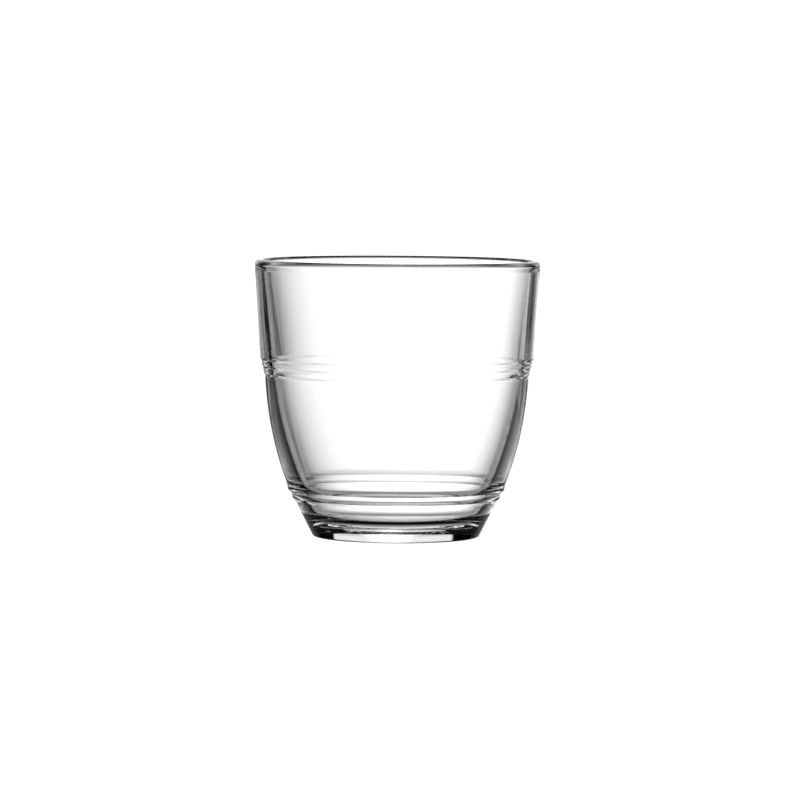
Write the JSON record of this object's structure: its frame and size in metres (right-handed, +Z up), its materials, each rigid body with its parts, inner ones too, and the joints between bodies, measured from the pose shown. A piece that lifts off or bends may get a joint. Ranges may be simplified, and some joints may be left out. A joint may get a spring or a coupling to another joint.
{
  "type": "stackable tumbler",
  "caption": "Clear pressed-glass drinking tumbler with a plain tapered band, ringed stacking shoulder, rounded bowl and ringed conical foot.",
  "frame": {"origin": "middle of the base, on the plane that the glass stands on", "axes": "+Z up along the axis of the glass, from the base towards the rim; X and Y are free, because the glass is turned"},
  "size_m": [0.085, 0.085, 0.0824],
  "materials": {
    "clear_glass": "clear pressed soda-lime glass, toughened, smooth with a fire-polished rim"
  },
  "bodies": {
    "root": {"tumbler": "clear_glass"}
  },
  "joints": []
}
